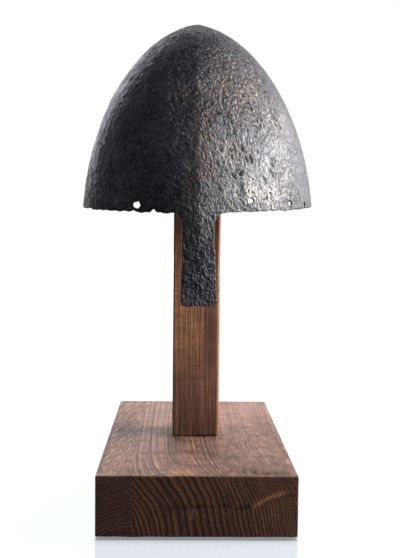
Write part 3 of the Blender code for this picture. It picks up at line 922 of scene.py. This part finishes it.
def make_foot(node, seed, look):
    """A stuck-on felt disc: pressed flat below, soft at its rim, a little out of round."""
    low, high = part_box(node)
    centre, radius = (low + high) / 2, (high.x - low.x) / 2
    unit = circle(FOOT_SIDES)
    ragged = 0.012 * noise_at(raised(unit, seed), (0.35, 0.35, 1.0))
    outline = [(share, low.z) for share in (0.10, 0.35, 0.60, 0.80, 0.92)]
    outline += [(0.965 + 0.025 * math.sin(t), low.z + MM - MM * math.cos(t))
                for t in np.radians((15, 35, 60, 90, 120, 145, 165))]
    outline += [(share, high.z) for share in (0.92, 0.80, 0.60, 0.35, 0.10)]
    rings = []
    for share, z in outline:
        reach = share * radius * (1.0 + ragged * share)
        ring = raised(np.array(centre[:2]) + reach[:, None] * unit, z)
        fuzz = 0.12 * MM * np.abs(noise_at(ring, 0.0016, seed))
        ring[:, 2] += fuzz if z < centre.z else -fuzz
        rings.append(ring)
    ends = ((centre.x, centre.y, high.z), (centre.x, centre.y, low.z))
    return finished(grid_mesh(node + "_felt", rings[::-1], ends), look)


def sink_screw(piece, screw, radius):
    """Cuts a screw's countersink into the underside of a piece."""
    low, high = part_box(screw)
    middle = np.array((low + high)[:2]) / 2
    below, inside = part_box("base_board")[0].z - MM, low.z + 2 * radius
    rings = [raised(middle + reach * radius * circle(SCREW_SIDES), z)
             for reach, z in ((1.1, inside), (1.1, low.z + radius), (2.15, low.z), (2.15, below))]
    mesh = grid_mesh("countersink", rings, ((*middle, inside), (*middle, below)))
    mesh.shade_smooth()
    cutter = new_object("countersink", mesh)
    modifier = piece.modifiers.new("countersink", "BOOLEAN")
    modifier.operation = "DIFFERENCE"
    modifier.solver = "EXACT"
    modifier.object = cutter
    cut = bpy.data.meshes.new_from_object(piece.evaluated_get(bpy.context.evaluated_depsgraph_get()))
    piece.modifiers.clear()
    piece.data = cut
    bpy.data.objects.remove(cutter, do_unlink=True)


# ---------------------------------------------------------------- shader helpers

class Signal:
    """What comes out of a node. Arithmetic with it makes Math nodes."""

    def __init__(self, nodes, socket):
        self.nodes, self.socket = nodes, socket

    def __add__(self, other):
        return self.nodes.math("ADD", self, other)

    def __sub__(self, other):
        return self.nodes.math("SUBTRACT", self, other)

    def __rsub__(self, other):
        return self.nodes.math("SUBTRACT", other, self)

    def __mul__(self, other):
        return self.nodes.math("MULTIPLY", self, other)

    def __abs__(self):
        return self.nodes.math("ABSOLUTE", self)


class Nodes:
    """Short calls for building a node tree."""

    def __init__(self, tree):
        self.tree = tree

    def feed(self, node, values):
        """Sets a node's inputs, by name or number, to numbers, tuples or signals."""
        for key, value in values.items():
            if isinstance(value, Signal):
                self.tree.links.new(value.socket, node.inputs[key])
            else:
                node.inputs[key].default_value = value

    def make(self, kind, values, **settings):
        node = self.tree.nodes.new(kind)
        for name, value in settings.items():
            setattr(node, name, value)
        self.feed(node, values)
        return node

    def call(self, kind, output, values, **settings):
        return Signal(self, self.make(kind, values, **settings).outputs[output])

    def math(self, operation, *values, clamp=False):
        return self.call("ShaderNodeMath", 0, dict(enumerate(values)), operation=operation, use_clamp=clamp)

    def most(self, first, second):
        return self.math("MAXIMUM", first, second)

    def vector(self, operation, *values):
        output = "Value" if operation == "LENGTH" else "Vector"
        return self.call("ShaderNodeVectorMath", output, dict(enumerate(values)), operation=operation)

    def place(self, output="Object"):
        return self.call("ShaderNodeTexCoord", output, {})

    def value(self, name):
        """A number stored on the mesh."""
        return self.call("ShaderNodeAttribute", "Fac", {}, attribute_name=name)

    def noise(self, vector, scale, detail=3.0, rough=0.55, output="Fac"):
        return self.call("ShaderNodeTexNoise", output, {"Vector": vector, "Scale": scale, "Detail": detail,
                                                        "Roughness": rough})

    def warped(self, vector, scale, amount):
        """A place pushed about by noise."""
        wobble = self.vector("SUBTRACT", self.noise(vector, scale, 2.0, output="Color"), (0.5, 0.5, 0.5))
        return self.vector("ADD", vector, self.vector("MULTIPLY", wobble, (amount, amount, amount)))

    def cells(self, vector, scale, reach, share=None):
        """Spots that fade over two distances from points; share gives a ramp that leaves some spots out."""
        node = self.make("ShaderNodeTexVoronoi", {"Vector": vector, "Scale": scale})
        spots = self.ramp(Signal(self, node.outputs["Distance"]), (reach[0], 1.0), (reach[1], 0.0))
        if share:
            tint = Signal(self, node.outputs["Color"])
            spots = spots * self.ramp(tint, (share[0], 0.0), (share[1], share[2]))
        return spots

    def ramp(self, value, *stops):
        """Stops are (position, grey or colour)."""
        node = self.make("ShaderNodeValToRGB", {0: value})
        elements = node.color_ramp.elements
        while len(elements) < len(stops):
            elements.new(0.5)
        for element, (position, colour) in zip(elements, stops):
            element.position = position
            element.color = (*(colour if isinstance(colour, tuple) else (colour, colour, colour)), 1.0)
        return Signal(self, node.outputs["Color"])

    def mix(self, factor, first, second):
        first, second = (c if isinstance(c, Signal) else (*c, 1.0) for c in (first, second))
        return self.call("ShaderNodeMix", 2, {0: factor, 6: first, 7: second}, data_type="RGBA")

    def bump(self, height, distance, strength):
        return self.call("ShaderNodeBump", "Normal", {"Height": height, "Distance": distance,
                                                      "Strength": strength})


def new_material(name):
    material = bpy.data.materials.new(name)
    material.use_nodes = True
    return material, Nodes(material.node_tree), material.node_tree.nodes["Principled BSDF"]


# ---------------------------------------------------------------- materials

def iron_material():
    """Pitted, waxed wrought iron: blue-black crust, painted darker in its hollows as shade, rust-brown
    stains, and pale low on the right, partly from wear and partly a painted highlight where the key light
    falls.
    """
    material, n, shader = new_material("pitted_iron")
    at = n.place()
    worn, calm, crusty = n.value("worn"), n.value("calm"), n.value("crusty")
    warped = n.warped(n.vector("MULTIPLY", at, (1.0, 1.0, 0.80)), 230.0, 0.003)
    crust = n.noise(warped, 370.0, 3.0, 0.50)
    crease = n.ramp(abs(n.noise(warped, 300.0, 1.0, 0.5) - 0.5), (0.0, 1.0), (0.05, 0.0))
    small = n.cells(warped, 430.0, (0.10, 0.40), (0.50, 0.60, 1.0))
    hole = n.cells(n.vector("MULTIPLY", warped, (1.0, 1.0, 0.62)), 250.0, (0.08, 0.26), (0.54, 0.60, 1.0))
    hole = n.most(hole, n.cells(warped, 340.0, (0.18, 0.42)) * crusty)
    height = n.ramp(crust, (0.34, 0.0), (0.50, 0.70), (0.68, 1.0)) * 0.42
    height = height + n.noise(warped, 900.0, 2.0, 0.6) * 0.22 - small * 0.14 - hole * 0.26 - crease * 0.12
    uneven = n.ramp(n.noise(at, 75.0, 2.0, 0.6), (0.36, 0.62), (0.62, 1.18))
    calmed = (1.0 - calm * 0.50) * (1.0 - worn * 0.20)
    height = height * uneven * (calmed + n.most(crusty, n.value("nasal")) * 0.35)

    # Colour follows height: darker where the crust and the surface lie low, painted shade in the hollows
    shade_by_height = crust * 0.60 + n.value("relief") * 0.40
    dark = n.ramp(shade_by_height, (0.36, (0.013, 0.012, 0.018)), (0.62, (0.060, 0.056, 0.069)))
    pale = n.ramp(shade_by_height, (0.34, (0.130, 0.126, 0.134)), (0.62, (0.300, 0.292, 0.306)))
    # Pale where worn: partly real wear, partly a painted highlight where the key light falls
    colour = n.mix(worn, dark, pale)
    speckle = n.ramp(n.noise(at, 330.0, 4.0, 0.7), (0.47, 0.0), (0.58, 1.0))
    patch = n.ramp(n.noise(at, 60.0, 3.0, 0.65), (0.50, 0.0), (0.72, 0.42))
    colour = n.mix((n.value("rust") + patch) * speckle * 0.70, colour, (0.190, 0.110, 0.052))
    tan = n.ramp(n.noise(at, 240.0, 4.0, 0.7), (0.55, 0.0), (0.62, 0.55))
    colour = n.mix(tan * worn, colour, (0.40, 0.32, 0.22))
    mottle = n.ramp(n.noise(at, 190.0, 5.0, 0.68), (0.46, 0.0), (0.52, 1.0))
    colour = n.mix(n.ramp(n.value("bloom") * mottle, (0.30, 0.0), (0.50, 0.80)), colour, (0.44, 0.40, 0.35))
    # Pits, holes and creases painted near-black: painted shade in the hollows
    shade = n.most(n.most(small * 0.55, hole * 0.85), crease * 0.45)
    shade = n.most(shade, n.ramp(n.value("pit"), (0.20, 0.0), (0.42, 0.98)))
    matte = n.math("ADD", worn * 1.2, calm, clamp=True)
    rough = n.ramp(n.noise(at, 90.0, 3.0, 0.6), (0.3, 0.26), (0.7, 0.42))
    n.feed(shader, {"Base Color": n.mix(shade, colour, (0.006, 0.006, 0.008)),
                    "Metallic": 0.40 - matte * 0.36, "Roughness": rough + matte * 0.16,
                    "Specular IOR Level": 0.42, "Normal": n.bump(height, 0.0028, 1.0)})
    return material


FLECK_GLINT = (0.36, 0.23, 0.18)
FLECK_TURN = math.radians(14)
CREST_SHEEN = (0.40, 0.34, 0.34)           # the hard crest of each ring: a painted sheen reflection
BARE_AND_LIT = (0.72, 0.30, 0.10)
YELLOW = (0.62, 0.34, 0.05)
NICK = (0.42, 0.33, 0.28)
CHECK_BLACK = (0.010, 0.008, 0.009)
BRANCH_ORANGE = (0.520, 0.220, 0.085)
SCRATCH_PALE = (0.30, 0.22, 0.19)


def wood_material(name, dark, light, tint, grain=(1.0, 0.03, 1.0), end=None, fleck_glint_and_shade=0.15, chatter=0.0):
    """Stained softwood: rings come from the timber's own count, fibres run along the grain.

    Dark, light and tint are the colours of late wood, early wood and its darker patches. Grain scales the
    pattern along each axis, so it is smallest along the fibres. End is the late and the early wood's colour
    where the grain comes out, which soaks up more stain. Chatter is the strength of the plane's marks, and
    the argument before it that of pale flecks: partly the grain's figure, partly painted highlight with
    painted shade beside each.
    """
    material, n, shader = new_material(name)
    at = n.place()
    count, faint, soiled, at_end = n.value("rings"), n.value("faint"), n.value("soiled"), n.value("end")

    def along_grain(scale, detail, rough, least=0.0):
        """Noise drawn out along the grain: fully at least 0, not at all at 1, across it above 1."""
        drawn = n.vector("MULTIPLY", at, tuple(least + (1.0 - least) * g for g in grain))
        return n.noise(drawn, scale, detail, rough)

    fibre = along_grain(1500.0, 2.0, 0.6)
    streak = along_grain(420.0, 3.0, 0.6, 0.12)
    pores = along_grain(2000.0, 1.0, 0.5, 0.5)
    patch = along_grain(55.0, 4.0, 0.62, 0.3)
    broad = along_grain(40.0, 3.0, 0.55, 1.8)
    slow = n.make("ShaderNodeSeparateXYZ", {0: n.vector(
        "MULTIPLY", at, tuple(g * 120.0 if g < 1.0 else 9.0 for g in grain))})
    layered = n.call("ShaderNodeCombineXYZ", 0, {
        0: count * 5.0, 1: Signal(n, slow.outputs["Y"]), 2: Signal(n, slow.outputs["Z"])})
    lines = n.noise(layered, 1.0, 2.0, 0.6)
    share = n.math("FRACT", count + (fibre - 0.5) * 0.30)
    late = n.ramp(share, (0.0, 0.0), (0.40, 0.06), (0.72, 1.0), (0.90, 1.0), (1.0, 0.0))
    late = late * (1.0 - faint * 0.6)
    peak = n.ramp(share, (0.70, 0.0), (0.80, 1.0), (0.88, 1.0), (0.96, 0.0)) * (1.0 - faint * 0.8)
    fine = n.ramp(lines, (0.40, 0.0), (0.66, 0.8))
    colour = n.mix(n.ramp(patch, (0.38, 0.0), (0.64, 1.0)), light, tint)
    for factor in (late * 0.55, n.ramp(lines, (0.48, 0.0), (0.58, 0.80))):
        colour = n.mix(factor, colour, dark)
    # Ring crests painted pale: a painted reflection of their sheen
    colour = n.mix(peak * 0.38, colour, CREST_SHEEN)
    for noise_in, *stops in ((broad, (0.38, 0.58), (0.54, 0.0)), (fibre, (0.44, 0.0), (0.72, 0.60)),
                             (streak, (0.50, 0.0), (0.68, 0.60))):
        colour = n.mix(n.ramp(noise_in, *stops), colour, dark)
    # Darker where the mask marks dirt, and where it marks painted shade
    colour = n.mix(soiled, colour, tuple(0.25 * c for c in tint))
    marks = n.noise(n.vector("MULTIPLY", at, tuple(1.1 - g for g in grain)), 900.0, 3.0, 0.65)
    colour = n.mix(n.ramp(marks, (0.44, 0.0), (0.62, 1.0)) * chatter, colour, dark)
    # Orange patches of the wood's own tone, and on the post's right arris a painted highlight
    colour = n.mix(n.value("warm") * n.ramp(marks, (0.40, 0.55), (0.58, 0.15)), colour, BARE_AND_LIT)
    speck = n.ramp(n.noise(at, 900.0, 2.0, 0.6), (0.50, 0.0), (0.62, 1.0))
    colour = n.mix(n.value("yellow") * speck, colour, YELLOW)
    if end:
        soaked = n.mix(late, end[1], end[0])
        for factor in (fine, n.ramp(pores, (0.42, 0.0), (0.66, 0.6)),
                       n.ramp(patch, (0.40, 0.0), (0.62, 0.35))):
            soaked = n.mix(factor, soaked, end[0])
        soaked = n.mix(n.value("check"), soaked, CHECK_BLACK)
        soaked = n.mix(n.value("branch") * n.ramp(fine, (0.0, 0.9), (0.8, 0.3)), soaked, BRANCH_ORANGE)
        soaked = n.mix(n.value("scratch") * 0.6, soaked, SCRATCH_PALE)
        colour = n.mix(at_end, colour, soaked)
    slanted = n.call("ShaderNodeMapping", 0, {
        "Vector": at, "Rotation": (0.0, 0.0, -FLECK_TURN),
        "Scale": tuple(1.0 / (0.10 + 0.90 * g) for g in grain)}, vector_type="TEXTURE")
    flecks = n.noise(slanted, 420.0, 3.0, 0.6)
    # Pale flecks, partly the grain's figure and partly painted highlight, with painted shade on their other
    # side
    colour = n.mix(n.ramp(flecks, (0.53, 0.0), (0.68, 1.0)) * fleck_glint_and_shade * (1.0 - at_end), colour, FLECK_GLINT)
    colour = n.mix(n.ramp(flecks, (0.36, 1.0), (0.46, 0.0)) * (0.7 * fleck_glint_and_shade), colour, dark)
    colour = n.mix(n.cells(at, 75.0, (0.045, 0.065), (0.70, 0.75, 0.8)), colour, NICK)
    height = late * 0.35 + fibre * 0.6 + streak * 1.5 + lines * 0.5 + pores * 0.4
    dull = n.ramp(peak, (0.0, 0.50), (1.0, 0.17)) + soiled * 0.30
    n.feed(shader, {"Base Color": colour, "Normal": n.bump(height, 0.00042, 0.9), "Roughness": dull,
                    "Specular IOR Level": 0.26, "IOR": 1.40})
    return material


def felt_material():
    """Black wool felt: matted fibres, grey fluff caught in it, and a dark waxed thread in its seams."""
    material, n, shader = new_material("dark_felt")
    thread = n.value("thread")
    matted = n.warped(n.place(), 700.0, 0.0012)
    fibres = n.noise(matted, 2600.0, 3.0, 0.7)
    clumps = n.noise(matted, 420.0, 3.0, 0.6)
    fluff = n.ramp(n.noise(matted, 1500.0, 1.0, 0.5), (0.60, 0.0), (0.72, 0.5))
    colour = n.mix(n.ramp(clumps, (0.35, 0.0), (0.65, 1.0)), (0.016, 0.016, 0.018), (0.034, 0.033, 0.035))
    colour = n.mix(fluff, colour, (0.11, 0.105, 0.10))
    n.feed(shader, {"Base Color": n.mix(thread, colour, (0.070, 0.062, 0.052)),
                    "Normal": n.bump(fibres + clumps * 1.5, 0.0009, 0.9), "Roughness": 0.96 - thread * 0.45,
                    "Sheen Weight": 0.25, "Sheen Roughness": 0.5})
    return material


def steel_material():
    """Zinc-plated steel: turning marks round the axis, a mottled yellowish-grey skin, dull spots."""
    material, n, shader = new_material("zinc_steel")
    at = n.place()
    turned = n.noise(n.vector("MULTIPLY", at, (0.15, 0.15, 1.0)), 5200.0, 2.0, 0.6)
    skin = n.noise(at, 380.0, 4.0, 0.65)
    colour = n.mix(n.ramp(skin, (0.38, 0.0), (0.62, 1.0)), (0.42, 0.42, 0.41), (0.60, 0.57, 0.47))
    dull = n.ramp(n.noise(at, 900.0, 2.0, 0.6), (0.58, 0.0), (0.70, 0.6))
    n.feed(shader, {"Base Color": n.mix(dull, colour, (0.22, 0.21, 0.19)), "Metallic": 1.0,
                    "Roughness": n.ramp(skin, (0.3, 0.24), (0.7, 0.44)),
                    "Normal": n.bump(turned + skin, 0.00008, 0.8)})
    return material


# ---------------------------------------------------------------- stage

CAMERA_PLACE = (-0.0131, -0.8542, 0.2442)
CAMERA_TURN = (3.51, -1.13, 0.54)       # degrees down, to the left, and rolled
CAMERA_LENS = 60.3
CAMERA_SENSOR = 36.0


def make_camera():
    data = bpy.data.cameras.new("camera")
    data.lens = CAMERA_LENS
    data.sensor_width = CAMERA_SENSOR
    data.clip_start, data.clip_end = 0.01, 50.0
    camera = new_object("camera", data)
    down, left, roll = (math.radians(a) for a in CAMERA_TURN)
    camera.matrix_world = (Matrix.Translation(CAMERA_PLACE) @ Matrix.Rotation(left, 4, "Z")
                           @ Matrix.Rotation(math.pi / 2 - down, 4, "X") @ Matrix.Rotation(roll, 4, "Z"))
    bpy.context.scene.camera = camera


# Soft lights: azimuth from the front towards +X and elevation in degrees, distance, width and height in
# metres, power in watts, and the height of the point each one aims at
LIGHTS = {
    "key_right": (87, 17, 1.0, 0.80, 0.75, 38.0, 0.27),
    "back_right": (118, 20, 1.0, 0.60, 0.50, 1.2, 0.20),
    "high_right": (65, 56, 1.0, 0.50, 0.50, 2.6, 0.27),
    "high_back": (175, 50, 1.0, 0.80, 0.60, 0.8, 0.27),
    "low_back": (178, 20, 0.50, 0.40, 0.20, 5.0, 0.05),
    "rim_left": (-152, 24, 1.0, 0.25, 0.60, 1.6, 0.27),
    "side_left": (-95, 20, 1.0, 0.40, 0.60, 1.2, 0.27),
    "fill_front": (-30, 40, 1.0, 0.60, 0.60, 1.5, 0.27),
}
COOL_LIGHT = (0.86, 0.87, 1.0)          # the ones from the left


def make_lights():
    for name, (azimuth, elevation, distance, width, height, power, aim) in LIGHTS.items():
        turn, rise = math.radians(azimuth), math.radians(elevation)
        away = Vector((math.sin(turn) * math.cos(rise), -math.cos(turn) * math.cos(rise), math.sin(rise)))
        data = bpy.data.lights.new(name, "AREA")
        data.shape = "RECTANGLE"
        data.size, data.size_y = width, height
        data.energy = power
        if azimuth < 0:
            data.color = COOL_LIGHT
        light = new_object(name, data)
        light.location = Vector((0.0, 0.0, aim)) + distance * away
        light.rotation_euler = (-away).to_track_quat("-Z", "Y").to_euler()
        light.visible_glossy = name != "low_back"


FLOOR_SIZE = 6.0
FLOOR_GLOW = 0.79
SHADOW_REACH = 50.0               # the painted shadow round the base fades out 1 / this from it
SHADOW_SQUEEZE = 6.0              # and fades out that much sooner at the base's sides
BACKDROP_LIGHT = 0.78


def make_floor():
    """White acrylic that glows for the camera, with painted shadow under and round the base, and mirrors
    faintly.
    """
    mesh = bpy.data.meshes.new("floor")
    made = bmesh.new()
    bmesh.ops.create_grid(made, x_segments=1, y_segments=1, size=FLOOR_SIZE)
    made.to_mesh(mesh)
    made.free()
    floor = new_object("floor", mesh)
    material, n, shader = new_material("white_acrylic")
    beside = n.vector("SUBTRACT", n.vector("ABSOLUTE", n.place()), (BASE_HIGH.x, BASE_HIGH.y, 0.0))
    beside = n.vector("MULTIPLY", beside, (SHADOW_SQUEEZE, 1.0, 1.0))
    outside = n.vector("LENGTH", n.vector("MAXIMUM", beside, (0.0, 0.0, 0.0)))
    # Painted contact shadow: the floor is dimmed under the base and brightens away from it
    shadowed_glow = n.ramp(outside * SHADOW_REACH, (0.0, 0.36), (0.10, 0.80), (0.4, 0.93), (1.0, 1.0))
    seen = n.call("ShaderNodeLightPath", "Is Camera Ray", {})
    n.feed(shader, {"Base Color": (0.06, 0.06, 0.06, 1.0), "Roughness": 0.10, "IOR": 2.8,
                    "Emission Strength": seen * shadowed_glow * FLOOR_GLOW,
                    "Emission Color": (0.885, 0.935, 1.0, 1.0)})
    mesh.materials.append(material)


def make_surround():
    """White for the camera, and for all else dark but for a pale wall behind the object."""
    world = bpy.data.worlds.new("surround")
    bpy.context.scene.world = world
    world.use_nodes = True
    n = Nodes(world.node_tree)
    direction = n.make("ShaderNodeSeparateXYZ", {0: n.place("Generated")})
    behind = n.ramp(Signal(n, direction.outputs["Y"]), (0.5, 0.0), (0.9, BACKDROP_LIGHT))
    seen = n.call("ShaderNodeLightPath", "Is Camera Ray", {})
    n.feed(world.node_tree.nodes["Background"], {"Color": n.mix(seen, behind, (1.0, 1.0, 1.0))})


# ---------------------------------------------------------------- the whole scene

# Each screw with its thread's pitch, and how far it is turned from head up
SCREWS = [("crown_screw", 0.0018, 0.0), ("post_screw_front", 0.0026, math.pi),
          ("post_screw_back", 0.0026, math.pi)]
FEET = ("foot_front_left", "foot_front_right", "foot_back_left", "foot_back_right")


def make_screws(board, look):
    """The crown's screw, and the post's two, which are turned head down and sunk in the board."""
    made = []
    for node, pitch, turn in SCREWS:
        low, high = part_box(node)
        middle, radius = (low + high) / 2, (high.x - low.x) / (2 * HEAD_RATIO)
        head_end = low.z if turn else high.z
        place = Matrix.Translation((middle.x, middle.y, head_end)) @ Matrix.Rotation(turn, 4, "X")
        screw = make_screw(node + "_threaded", radius, high.z - low.z, pitch, place, look)
        made.append((screw, node, "zinc_steel"))
        if turn:
            sink_screw(board, node, radius)
    return made


def make_stand():
    """Every piece of the stand, with the node that it stands for and its slot."""
    board, stave = make_base(
        wood_material("stained_pine", (0.062, 0.034, 0.027), (0.365, 0.183, 0.122), (0.235, 0.122, 0.088),
                      end=((0.038, 0.023, 0.022), (0.315, 0.128, 0.062))),
        wood_material("stained_pine_stave", (0.085, 0.045, 0.033), (0.270, 0.138, 0.092),
                      (0.120, 0.064, 0.048), end=((0.030, 0.018, 0.017), (0.195, 0.092, 0.064)), fleck_glint_and_shade=0.7))
    post = make_post(wood_material("stained_pine_post", (0.188, 0.092, 0.061), (0.640, 0.300, 0.180),
                                   (0.345, 0.162, 0.110), (1.0, 1.0, 0.02), fleck_glint_and_shade=0.2, chatter=0.45))
    block = make_crown_block(wood_material("plain_pine", (0.330, 0.185, 0.082), (0.560, 0.395, 0.225),
                                           (0.480, 0.315, 0.160), (1.0, 1.0, 0.03), fleck_glint_and_shade=0.0))
    felt = felt_material()
    pad = make_crown_pad(felt)
    pieces = [(board, "base_board", "stained_pine"), (stave, "base_stave", "stained_pine"),
              (post, "post", "stained_pine_post"), (block, "crown_block", "plain_pine"),
              (pad, "crown_pad", "dark_felt")]
    pieces += make_screws(board, steel_material())
    for number, node in enumerate(FEET):
        foot = make_foot(node, 3.7 * number, felt)
        pieces.append((foot, node, "dark_felt"))
    return pieces


def main():
    make_camera()
    make_floor()
    make_surround()
    make_lights()
    bpy.context.scene.view_settings.view_transform = "Standard"
    helmet = make_helmet(iron_material())
    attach(helmet, "helmet")
    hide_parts("helmet_bowl")
    for piece, node, slot in make_stand():
        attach(piece, "stand")
        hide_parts(node)


main()
